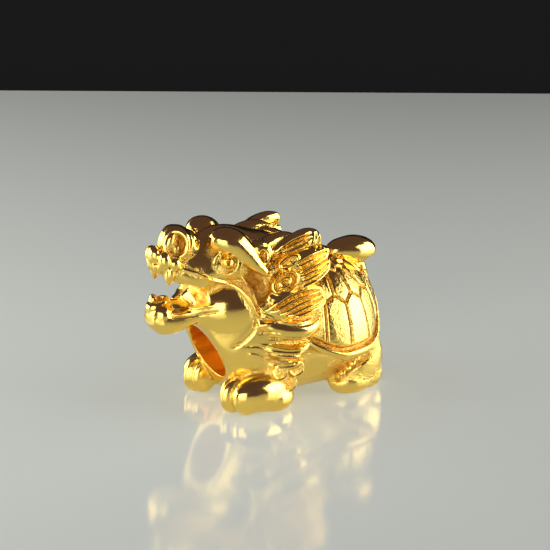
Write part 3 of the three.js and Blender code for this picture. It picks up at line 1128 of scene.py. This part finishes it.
@dataclass
class Carving:
    """All of the lines carved after the forms are melted together."""

    shell: Shell
    lip: Sequence[Pair] = (
        (-38, 59.6),
        (-31.3, 57.1),
        (-27.4, 54.9),
        (-22.4, 53.2),
        (-16.5, 49.8),
        (-13.2, 44.3),
        (-11.4, 40.2),
        (-8.7, 39.6),
        (-4.9, 37.7),
        (-0.3, 35.9),
        (7, 35.2),
        (12, 36),
    )
    cheek_edge: Sequence[Pair] = (
        (-15.6, 54.5),
        (-12.7, 51.1),
        (-11.2, 45.9),
        (-9.4, 41.2),
        (-6.6, 39.2),
        (-3, 37.8),
    )
    fans: Sequence[Fan] = (
        Fan(
            ((-8.7, 42.3), (-5.4, 44.4), (-0.1, 46.9), (7, 48), (13, 48)),
            ((2, 38), (6, 39.4), (10, 40.2), (14, 41), (17, 42)),
            5,
        ),
        Fan(
            ((5, 58.4), (9, 60.2), (13, 61), (19.6, 61.4)),
            ((7, 49), (11, 50.4), (14.6, 51.6), (19.6, 54.4)),
            6,
            0.55,
            0.5,
            1.1,
        ),
        Fan(((1, 63.4), (6, 66.4), (13.6, 68)), ((1.6, 61), (6.4, 62.6), (12.8, 65.4)), 3, 0.55, 0.5, 1),
        Fan(((12.8, 61.4), (13.8, 64), (15.4, 67)), ((17.4, 61.4), (18, 64), (17.2, 67)), 3, 0.5, 0.4, 0.6),
        Fan(((-8, 33.2), (-2, 31.6), (5, 31)), ((-7, 29.6), (-1, 29), (6, 28.8)), 3, 0.4, 0.15, 0.45),
        Fan(((-8, 25.6), (-1.4, 24.4), (5, 23.4)), ((-8, 20.6), (-0.6, 19.6), (5.6, 20)), 4, 0.45, 0.3, 0.7),
    )
    strokes: Sequence[Stroke] = (
        Stroke(((-41.5, 43), (-36, 42.8), (-31, 43.6), (-27, 45)), 0.6, 0.7),
        Stroke(((-41, 41.2), (-35, 40.9), (-30, 41.6), (-25.5, 43)), 0.5, -0.5),
        Stroke(((-12, 56), (-9.4, 51), (-8.6, 46), (-7.6, 42.4)), 2.2, -1.1),
        Stroke(((-11.8, 38.6), (-13, 34.4), (-16, 30.6), (-20, 28)), 0.8, -0.7),
        Stroke(((-12.9, 35.1), (-9, 36.4), (-5.5, 37.2)), 0.7, 0.35),
        Stroke(((-11.1, 32.8), (-8.1, 33.4), (-4, 33)), 0.5, -0.3),
        Stroke(((-14.6, 24.9), (-11.5, 24.1), (-8.8, 22.3)), 0.5, 0.3),
        Stroke(((-16.5, 28.2), (-12, 28), (-8, 26.8)), 0.5, -0.3),
        Stroke(((-10.4, 28.4), (-5.3, 27), (-0.3, 25.6), (6, 25.4)), 0.35, 0.4),
        Stroke(((-8.1, 20.6), (-5, 20.2), (-0.6, 19.2), (2.6, 19.6)), 0.7, -0.9),
        Stroke(((23.6, 7.4), (28, 11.4), (32.6, 14.6), (37.6, 16.8)), 0.9, -1.9),
    )
    lip_cut: Pair = (0.42, 0.9)
    cheek_cut: Pair = (0.35, 0.5)
    plate_cut: Pair = (0.5, -1.2)
    ring_cut: Pair = (0.8, -1.7)

    def from_side(self, tree: BVHTree, path: Sequence[Pair], steps: int = 28) -> np.ndarray:
        """Points along a line of the left side, where they meet the surface.

        Args:
            tree: The surface.
            path: The line, as [y, z].
            steps: How many points are wanted.

        Returns:
            The points on the surface.
        """
        found = []
        for y, z in between(path, np.linspace(0, 1, steps)):
            hit = tree.ray_cast(Vector((SIDE_START, y, z)), Vector((-1, 0, 0)))[0]
            if hit is not None:
                found.append(tuple(hit))
        return np.array(found)

    def cuts(self, tree: BVHTree) -> list[Cut]:
        """Lists the lines.

        Args:
            tree: The surface they are carved in.

        Returns:
            The lines to carve.
        """
        strokes = [Stroke(self.lip, *self.lip_cut), Stroke(self.cheek_edge, *self.cheek_cut), *self.strokes]
        for fan in self.fans:
            strokes.extend(fan.strokes())
        found = [Cut(self.from_side(tree, line.path), line.width, line.height) for line in strokes]
        for line in self.shell.grooves():
            if line[:, 0].max() > -0.5:  # the right side's lines come by mirroring
                width, height = self.ring_cut if len(line) > self.shell.ring_steps else self.plate_cut
                found.append(Cut(line, width, height, False))
        return found

    def carve(self, piece: Mesh) -> Mesh:
        """Carves the lines into a piece.

        Args:
            piece: The cast figure.

        Returns:
            The same object.
        """
        corners = [vertex.co for vertex in piece.data.vertices]
        tree = BVHTree.FromPolygons(corners, [tuple(face.vertices) for face in piece.data.polygons])
        places = points(piece)
        folded = places.copy()
        folded[:, 0] = np.abs(folded[:, 0])
        raised, sunk = np.zeros(len(places)), np.zeros(len(places))
        for line in self.cuts(tree):
            index, depth = line.depth_at(folded)
            if line.height > 0:
                raised[index] = np.maximum(raised[index], depth)
            else:
                sunk[index] = np.minimum(sunk[index], depth)
        return move_points(piece, places + directions(piece) * (raised + sunk)[:, None])


@dataclass
class Casting:
    """The whole figure, melted from its forms into one skin."""

    fineness: Fineness
    body: Body = field(default_factory=Body)
    head: Head = field(default_factory=Head)
    mane: Mane = field(default_factory=Mane)
    legs: Legs = field(default_factory=Legs)
    shell: Shell = field(default_factory=Shell)
    tail: Tail = field(default_factory=Tail)

    def build(self) -> Mesh:
        """Builds the figure in its own measure.

        Returns:
            The finished skin.
        """
        head = self.head.masses()
        head.append(with_mirror([self.head.cheek()], "cheeks"))
        skull = cast(joined(head, "skull"), CORE_VOXEL, rounds=6)
        cut(skull, cast(joined(self.head.gape(), "gape"), GAPE_VOXEL, rounds=4))
        masses = with_mirror([self.mane.base(), *self.legs.masses()], "masses")
        core = joined([skull, self.body.trunk(), masses, self.tail.stalk()], "core")
        cast(core, CORE_VOXEL, rounds=5)
        cut(core, self.body.drill())
        LOG.info("core: %d faces", len(core.data.polygons))
        sides = with_mirror(
            [*self.head.side(), *self.mane.side(), *self.legs.side(), self.tail.curl()], "sides"
        )
        middle = [*self.head.middle(), self.shell.dome(), self.shell.rim(), self.tail.drop()]
        figure = joined([core, sides, *middle], NODE + "_casting")
        cast(figure, self.fineness.value, rounds=3)
        LOG.info("figure: %d faces", len(figure.data.polygons))
        Carving(self.shell).carve(figure)
        self.flatten_soles(figure)
        return self.thinned(figure)

    def flatten_soles(self, figure: Mesh) -> None:
        """Presses all that is under the ground up to it.

        Args:
            figure: The figure, in its own measure.
        """
        places = points(figure)
        places[:, 2] = np.maximum(places[:, 2], GROUND)
        move_points(figure, places)

    def thinned(self, figure: Mesh) -> Mesh:
        """Takes out the triangles that flat places don't need.

        Args:
            figure: The figure, in its own measure.

        Returns:
            The same object.
        """
        now = sum(len(face.vertices) - 2 for face in figure.data.polygons)
        if now > TRIANGLES:
            finished(figure, "DECIMATE", ratio=TRIANGLES / now)
        LOG.info("figure: %d triangles of %d kept", len(figure.data.polygons), now)
        return figure


def to_frame(figure: Mesh) -> Mesh:
    """Brings the figure from its own measure to metres in the part's frame.

    Args:
        figure: The figure, in hundredths of its length.

    Returns:
        The same object.
    """
    return move_points(figure, (points(figure) - (0, MIDDLE, GROUND)) * HUNDREDTH)


# Finish


class Recipe:
    """A material in the making, with short ways to add to it."""

    def __init__(self, name: str) -> None:
        """Starts the material.

        Args:
            name: The material's name.
        """
        self.material = bpy.data.materials.new(name)
        self.material.use_nodes = True

    def feed(self, node: bpy.types.Node, inputs: dict[str | int, object]) -> None:
        """Sets a node's inputs.

        Args:
            node: The node.
            inputs: A value for each input, or the socket that gives it.
        """
        for key, value in inputs.items():
            if isinstance(value, bpy.types.NodeSocket):
                self.material.node_tree.links.new(value, node.inputs[key])
            else:
                node.inputs[key].default_value = value

    def add(
        self,
        kind: str,
        output: str | int,
        inputs: dict[str | int, object],
        **settings: object,
    ) -> bpy.types.NodeSocket:
        """Adds a node.

        Args:
            kind: The node's type.
            output: The output that is wanted of it.
            inputs: A value for each input, or the socket that gives it.
            settings: Its settings.

        Returns:
            The output's socket.
        """
        node = self.material.node_tree.nodes.new(kind)
        for key, value in settings.items():
            setattr(node, key, value)
        self.feed(node, inputs)
        return node.outputs[output]

    def attribute(self, name: str) -> bpy.types.NodeSocket:
        """Reads an attribute of the figure."""
        return self.add("ShaderNodeAttribute", "Fac", {}, attribute_name=name)

    def blend(self, share: bpy.types.NodeSocket, low: float, high: float) -> bpy.types.NodeSocket:
        """A value that goes from low to high.

        Args:
            share: The share of the way that it has gone.
            low: The value where the share is 0.
            high: The value where it is 1.

        Returns:
            The socket that gives the value.
        """
        inputs = {"Value": share, "To Min": low, "To Max": high}
        return self.add("ShaderNodeMapRange", "Result", inputs, clamp=False)

    def done(self, inputs: dict[str | int, object]) -> bpy.types.Material:
        """Sets the inputs of the material's shader.

        Args:
            inputs: A value for each input, or the socket that gives it.

        Returns:
            The finished material.
        """
        self.feed(self.material.node_tree.nodes["Principled BSDF"], inputs)
        return self.material


@dataclass(frozen=True)
class Gold:
    """Yellow gold: polished on ridges, satin on wide forms, and grainy on the shell, haunch and hollows.

    It carries painted shade: its colour is deepened in the hollows, the eye, the nostril and other recesses,
    for the shade and the orange light bounced between gold walls there. The hole's inside gives off a faint
    orange light, which isn't a property of the metal: without it the hole renders darker than in the
    photograph.
    """

    color: Color = (1.0, 0.69, 0.15, 1)
    polished: float = 0.13
    satin: float = 0.2
    grainy: float = 0.08
    grain_scale: float = 5200
    grain_detail: float = 4
    grain_roughness: float = 0.6
    bump_metres: float = 0.00022
    smooth_depth: float = 0.04
    grain_depth: float = 0.9
    # painted shade: the darker colour mixed into hollows and recesses
    painted_shade_color: Color = (0.68, 0.35, 0.05, 1)
    hole_glow: Color = (1.0, 0.32, 0.02, 1)
    hole_light: float = 0.32

    def material(self) -> bpy.types.Material:
        """Makes the material, which reads the four attributes that the finish writes.

        Returns:
            The new material.
        """
        recipe = Recipe("cast_gold")
        grain = recipe.attribute("grain")
        rough = recipe.blend(recipe.attribute("satin"), self.polished, self.polished + self.satin)
        noise = {
            "Vector": recipe.add("ShaderNodeTexCoord", "Object", {}),
            "Scale": self.grain_scale,
            "Detail": self.grain_detail,
            "Roughness": self.grain_roughness,
        }
        bump = {
            "Distance": self.bump_metres,
            "Strength": recipe.blend(grain, self.smooth_depth, self.grain_depth),
            "Height": recipe.add("ShaderNodeTexNoise", "Fac", noise),
        }
        # Painted shade: the deep colour is mixed in by the attribute that the finish writes for hollows and
        # recesses.
        painted_shade_mix = {"A": self.color, "B": self.painted_shade_color, "Factor": recipe.attribute("painted_shade")}
        roughness = {0: grain, 1: self.grainy, 2: rough}
        return recipe.done(
            {
                "Metallic": 1,
                "Base Color": recipe.add("ShaderNodeMix", "Result", painted_shade_mix, data_type="RGBA"),
                "Roughness": recipe.add("ShaderNodeMath", 0, roughness, operation="MULTIPLY_ADD"),
                "Emission Color": self.hole_glow,
                "Emission Strength": recipe.blend(recipe.attribute("hole"), 0, self.hole_light),
                "Normal": recipe.add("ShaderNodeBump", "Normal", bump),
            }
        )


@dataclass(frozen=True)
class Patch:
    """A rounded region of the left side, with how satin and how grainy it is, and how much painted shade
    darkens its colour.

    The last value says how far it belongs to the hole's inside.
    """

    centre: Triple
    radii: Triple
    satin: float
    grain: float
    # painted shade: how much the colour is darkened here
    painted_shade: float = 0
    hole: float = 0


@dataclass
class Finish:
    """Says how satin and how grainy each place is, how much painted shade darkens it, and which lie in the
    hole.
    """

    patches: Sequence[Patch] = (
        Patch((7, -16, 42), (16, 24, 16), 0.4, 0.1),
        Patch((10, -36, 40), (16, 14, 12), 0.5, 0.05),
        Patch((12, 12, 14), (12, 44, 20), 0.9, 0.1),
        Patch((17, -9, 8), (9, 20, 12), 0.3, 0.1),
        Patch((16, 36, 12), (12, 20, 18), 0.15, 1),
        Patch((14, 28, 36), (16, 26, 22), 0.2, 1),
        Patch((10, -20, 45), (10, 12, 8), 0.2, 0.35),
        Patch((12.2, -20.8, 60.6), (5, 6, 5.4), 0.5, 0.8, 0.15),
        Patch((3.4, -37.4, 67.6), (3.6, 3.8, 4.2), 0.5, 0.9, 0.3),
        Patch((15.5, -10, 51), (6, 5, 9), 0.4, 0.7, 0.4),
        Patch((0, -33, 47), (8, 11, 9), 0.3, 0.3),
        Patch((0, 10, 22.6), (11.4, 60, 11.4), 1, 0.3, 0, 1),
        Patch((0, 38, 45), (9, 9, 7), 0.6, 0.8, 0.2),
    )
    shine: Sequence[Patch] = (
        Patch((0, 42, 52), (9, 14, 8), 0, 0),
        Patch((11, -16, 66), (8, 13, 9), 0, 0),
    )
    least_satin: float = 0.25
    soft_edge: float = 0.16
    full_hollow: float = 0.09
    hollow_start: float = 0.35
    # painted shade that a full hollow adds
    hollow_painted_shade: float = 0.7
    hollow_grain: float = 0.6
    ridge_start: float = 0.4
    # painted shade that a full ridge takes away
    ridge_shade_loss: float = 0.8
    ridge_grain: float = 0.8
    ridge_satin: float = 0.5

    def apply(self, figure: Mesh) -> None:
        """Writes the four attributes to the figure.

        Args:
            figure: The figure, in its own measure.
        """
        places = points(figure)
        places[:, 0] = np.abs(places[:, 0])
        satin, grain, painted_shade, hole = np.zeros((4, len(places)))
        satin += self.least_satin
        for patch in self.patches:
            inside = self.inside(patch, places)
            satin = np.maximum(satin, inside * patch.satin)
            grain = np.maximum(grain, inside * patch.grain)
            painted_shade = np.maximum(painted_shade, inside * patch.painted_shade)
            hole = np.maximum(hole, inside * patch.hole)
        for patch in self.shine:
            inside = self.inside(patch, places)
            satin *= 1 - inside
            grain *= 1 - inside
            painted_shade *= 1 - inside
        hollow = self.hollow(figure)
        share = lambda values: np.clip(values, 0, 1)
        dip, ridge = share(hollow), share(-hollow)
        # Painted shade: the colour is darkened in hollows, and the darkening is taken off ridges.
        painted_shade = share(painted_shade + self.hollow_painted_shade * share(hollow - self.hollow_start) - self.ridge_shade_loss * ridge)
        grain = share(grain + self.hollow_grain * dip - self.ridge_grain * share(-hollow - self.ridge_start))
        satin = np.maximum(satin - self.ridge_satin * ridge, 0)
        for name, values in (("satin", satin), ("grain", grain), ("painted_shade", painted_shade), ("hole", hole)):
            layer = figure.data.attributes.new(name, "FLOAT", "POINT")
            layer.data.foreach_set("value", values.astype(np.float32))

    def inside(self, patch: Patch, places: np.ndarray) -> np.ndarray:
        """How far places are inside a patch, with a soft edge.

        Args:
            patch: The patch.
            places: The places, one row each.

        Returns:
            A share from 0 to 1 for each place.
        """
        away = np.linalg.norm((places - patch.centre) / patch.radii, axis=1)
        return np.clip((1 + self.soft_edge / 2 - away) / self.soft_edge, 0, 1)

    def hollow(self, figure: Mesh, rounds: int = 5, softened: int = 2) -> np.ndarray:
        """How hollow the surface is at each vertex: 1 in a groove, and -1 on a ridge.

        Args:
            figure: The figure, in its own measure.
            rounds: How many times the places are evened out, to compare the surface with.
            softened: How many times the measure itself is evened out.

        Returns:
            A value for each vertex.
        """
        places = points(figure)
        edges = np.empty(len(figure.data.edges) * 2, dtype=np.int32)
        figure.data.edges.foreach_get("vertices", edges)
        a, b = edges.reshape(-1, 2).T
        count = np.bincount(a, minlength=len(places)) + np.bincount(b, minlength=len(places))

        def spread(values: np.ndarray) -> np.ndarray:
            """Evens values out.

            Args:
                values: One row for each vertex.

            Returns:
                The mean of each vertex's neighbours.
            """
            columns = [
                np.bincount(a, column[b], len(count)) + np.bincount(b, column[a], len(count))
                for column in values.T
            ]
            return np.stack(columns, axis=1) / np.maximum(count, 1)[:, None]

        soft = places
        for _ in range(rounds):
            soft = spread(soft)
        bend = np.einsum("ij,ij->i", soft - places, directions(figure))[:, None]
        for _ in range(softened):
            bend = spread(bend)
        return bend[:, 0] / self.full_hollow


@dataclass(frozen=True)
class PaleTop:
    """The pale glossy top that the bead stands on, with a painted glow in its material for the light from
    below and round it.

    The painted glow is strongest on a line across the picture, fades before and behind it, and is less at
    the right.
    """

    color: Color = (0.41, 0.42, 0.37, 1)
    glow: Color = (0.92, 1, 0.92, 1)
    roughness: float = 0.1
    brightest: float = -20
    reach: float = 535
    near_glow: float = 0.36
    far_glow: float = 0.16
    left_share: float = 1.04
    right_share: float = 0.74
    half_span: float = 150

    def material(self, depth: Triple) -> bpy.types.Material:
        """Makes the material.

        Args:
            depth: The way that leads away from the camera over the top.

        Returns:
            The new material.
        """
        recipe = Recipe("pale_top")
        place = recipe.add("ShaderNodeTexCoord", "Object", {})

        def along(way: Triple) -> bpy.types.NodeSocket:
            """How far each place lies along a way."""
            return recipe.add("ShaderNodeVectorMath", "Value", {0: place, 1: way}, operation="DOT_PRODUCT")

        away = {0: along(depth), 1: self.brightest * HUNDREDTH}
        away = {0: recipe.add("ShaderNodeMath", 0, away, operation="SUBTRACT")}
        fade = {
            "Value": recipe.add("ShaderNodeMath", 0, away, operation="ABSOLUTE"),
            "From Max": self.reach * HUNDREDTH,
            "To Min": self.near_glow,
            "To Max": self.far_glow,
        }
        share = {
            "Value": along((depth[1], -depth[0], 0)),
            "From Min": -self.half_span * HUNDREDTH,
            "From Max": self.half_span * HUNDREDTH,
            "To Min": self.left_share,
            "To Max": self.right_share,
        }
        strength = {
            0: recipe.add("ShaderNodeMapRange", "Result", fade),
            1: recipe.add("ShaderNodeMapRange", "Result", share),
        }
        # Painted light: the top's glow stands in for the light that falls on it.
        return recipe.done(
            {
                "Base Color": self.color,
                "Roughness": self.roughness,
                "Emission Color": self.glow,
                "Emission Strength": recipe.add("ShaderNodeMath", 0, strength, operation="MULTIPLY"),
            }
        )


@dataclass(frozen=True)
class DarkCloth:
    """The dark matt cloth that hangs behind the top."""

    color: Color = (0.002, 0.002, 0.002, 1)
    glow: Color = (1, 1, 1.04, 1)
    strength: float = 0.0085

    def material(self) -> bpy.types.Material:
        """Makes the material.

        Returns:
            The new material.
        """
        return Recipe("dark_cloth").done(
            {
                "Base Color": self.color,
                "Roughness": 1,
                "Specular IOR Level": 0,
                "Emission Color": self.glow,
                "Emission Strength": self.strength,
            }
        )


# Studio


@dataclass
class Softbox:
    """A soft rectangular light, placed by its angles round the bead."""

    name: str
    azimuth: float
    elevation: float
    width: float
    height: float
    radiance: float
    distance: float = 700

    def build(self) -> None:
        """Puts the light up, facing the bead. Its width and height are angles seen from there."""
        lamp = bpy.data.lights.new(self.name, "AREA")
        lamp.shape = "RECTANGLE"
        far = self.distance * HUNDREDTH
        lamp.size = 2 * far * math.tan(math.radians(self.width) / 2)
        lamp.size_y = 2 * far * math.tan(math.radians(self.height) / 2)
        lamp.energy = self.radiance * math.pi * lamp.size * lamp.size_y
        stand = bpy.data.objects.new(self.name, lamp)
        bpy.context.scene.collection.objects.link(stand)
        turn, rise = math.radians(self.azimuth), math.radians(self.elevation)
        way = Vector((math.cos(turn) * math.cos(rise), math.sin(turn) * math.cos(rise), math.sin(rise)))
        stand.location = way * far
        stand.rotation_euler = way.to_track_quat("Z", "Y").to_euler()


@dataclass
class Studio:
    """The pale top, the dark cloth, the lights and the camera."""

    azimuth: float = 58
    elevation: float = 17.5
    distance: float = 880
    aim: Triple = (0, 5.3, 46.1)
    lens: float = 150.34
    sensor: float = 36
    top_edge: float = 515
    top_reach: float = 2500
    top_turn: float = -1.5
    cloth_distance: float = 620
    cloth_size: Pair = (3000, 800)
    room_color: Color = (0.085, 0.055, 0.095, 1)
    boxes: Sequence[Softbox] = (
        Softbox("left", -128, 17, 66, 32, 4.2),
        Softbox("right", 63, 17, 58, 34, 5.2),
        Softbox("front", -47, 13, 44, 26, 3.3, 1100),
        Softbox("back_left", 176, 18, 30, 20, 2, 1000),
    )

    def camera(self) -> None:
        """Sets up the camera at the photograph's angle."""
        turn, rise = math.radians(self.azimuth), math.radians(self.elevation)
        back = Vector((math.sin(turn) * math.cos(rise), -math.cos(turn) * math.cos(rise), math.sin(rise)))
        eye = bpy.data.cameras.new("camera")
        eye.sensor_width = self.sensor
        eye.lens = self.lens
        eye.clip_start = 0.001
        stand = bpy.data.objects.new("camera", eye)
        bpy.context.scene.collection.objects.link(stand)
        stand.location = (Vector(self.aim) + back * self.distance) * HUNDREDTH
        stand.rotation_euler = back.to_track_quat("Z", "Y").to_euler()
        bpy.context.scene.camera = stand

    def floor(self) -> None:
        """Lays the pale top."""
        top = primitive(bpy.ops.mesh.primitive_plane_add, size=1)
        top.name = "pale_top"
        back = self.top_edge * HUNDREDTH
        wide = self.top_reach * HUNDREDTH
        move_points(top, points(top) * (wide * 2, wide + back, 1) + (0, (back - wide) / 2, 0))
        top.rotation_euler = (0, 0, math.radians(self.azimuth + self.top_turn))
        bpy.ops.object.transform_apply(location=True, rotation=True, scale=True)
        turn = math.radians(self.azimuth)
        top.data.materials.append(PaleTop().material((-math.sin(turn), math.cos(turn), 0)))

    def backdrop(self) -> None:
        """Hangs the dark cloth behind the top."""
        cloth = primitive(bpy.ops.mesh.primitive_plane_add, size=1, rotation=(math.pi / 2, 0, 0))
        cloth.name = "dark_backdrop"
        bpy.ops.object.transform_apply(location=False, rotation=True, scale=False)
        wide, high = self.cloth_size[0] * HUNDREDTH, self.cloth_size[1] * HUNDREDTH
        move_points(cloth, points(cloth) * (wide, 1, high) + (0, self.cloth_distance * HUNDREDTH, 0))
        cloth.rotation_euler = (0, 0, math.radians(self.azimuth))
        bpy.ops.object.transform_apply(location=True, rotation=True, scale=True)
        cloth.data.materials.append(DarkCloth().material())

    def light(self) -> None:
        """Puts up the lights and the dark room."""
        for box in self.boxes:
            box.build()
        world = bpy.data.worlds.new("dark_room")
        world.use_nodes = True
        world.node_tree.nodes["Background"].inputs["Color"].default_value = self.room_color
        bpy.context.scene.world = world
        bpy.context.scene.view_settings.view_transform = "Standard"

    def build(self) -> None:
        """Sets up the whole studio."""
        self.floor()
        self.backdrop()
        self.light()
        self.camera()


def main() -> None:
    """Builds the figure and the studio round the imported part."""
    logging.basicConfig(level=logging.INFO, format="%(name)s: %(message)s")
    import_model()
    Studio().build()
    casting = Casting(Fineness.FINAL).build()
    Finish().apply(casting)
    figure = to_frame(casting)
    alone(figure)
    bpy.ops.object.shade_smooth()
    figure.data.materials.clear()
    figure.data.materials.append(Gold().material())
    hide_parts(NODE)
    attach(figure, "root")


if __name__ == "__main__":
    main()
